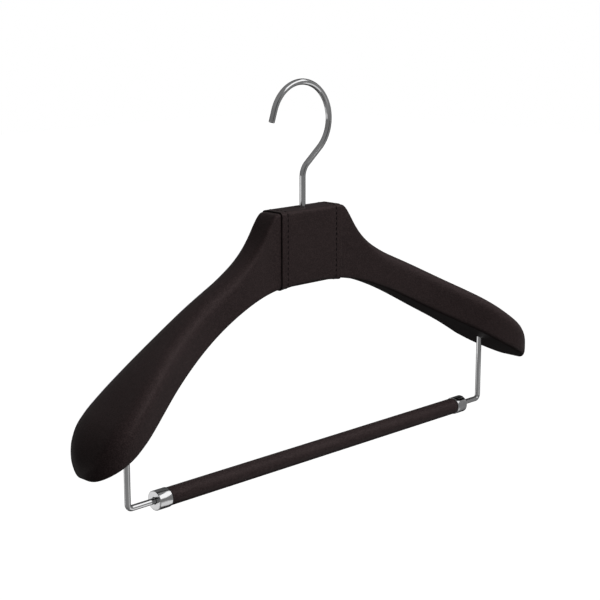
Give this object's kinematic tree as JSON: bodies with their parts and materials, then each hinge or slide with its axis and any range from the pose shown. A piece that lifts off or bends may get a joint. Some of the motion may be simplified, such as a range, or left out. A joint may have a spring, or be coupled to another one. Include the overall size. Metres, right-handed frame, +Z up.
{
  "type": "suit hanger",
  "caption": "Wide contoured suit hanger covered in stitched leather, with a swivelling chrome hook and a leather-covered trouser bar on wire brackets.",
  "frame": {"origin": "underside of the hook's crown, where it rests on a rail, on the hook's swivel axis", "axes": "+X along the hanger's width towards its right shoulder as seen from the front, +Y towards the back, +Z up; the shoulders sweep forward towards -Y"},
  "size_m": [0.45, 0.0622, 0.2795],
  "materials": {
    "leather": "very dark brown fine-grained leather, matte",
    "bar_leather": "very dark brown smooth leather, matte",
    "band_leather": "very dark brown fine-grained leather, matte",
    "thread": "near-black sewing thread",
    "chrome": "polished chrome plate",
    "steel": "plain zinc-plated steel",
    "brass": "plain turned brass",
    "beech": "bare beech, hidden under the leather",
    "plywood": "bare plywood, hidden in the neck",
    "nylon": "black nylon"
  },
  "bodies": {
    "hook": {"hook_wire": "chrome", "hook_nut": "steel"},
    "hanger": {"hook_bush": "brass", "hook_washer": "steel", "core_left": "beech", "core_right": "beech", "core_tongue_upper": "plywood", "core_tongue_lower": "plywood", "cover_left": "leather", "cover_right": "leather", "neck_band": "band_leather", "band_thread_left": "thread", "band_thread_right": "thread", "bracket_wire_left": "chrome", "bracket_wire_right": "chrome"},
    "bar_bushes": {"bar_bush_left": "nylon", "bar_bush_right": "nylon"},
    "trouser_bar": {"bar_tube": "steel", "bar_cover": "bar_leather", "bar_ferrule_left": "chrome", "bar_ferrule_right": "chrome"}
  },
  "joints": [
    {"name": "hook_swivel", "type": "hinge", "parent": "hook", "child": "hanger", "pos_m": [0, 0, -0.08985], "axis": [0, 0, 1], "continuous": true},
    {"name": "bar_slide", "type": "slide", "parent": "hanger", "child": "bar_bushes", "axis": [1, 0, 0], "range_m": [-0.0185, 0.0185]},
    {"name": "bar_roll", "type": "hinge", "parent": "bar_bushes", "child": "trouser_bar", "pos_m": [0, -0.02249, -0.26825], "axis": [1, 0, 0], "continuous": true}
  ]
}
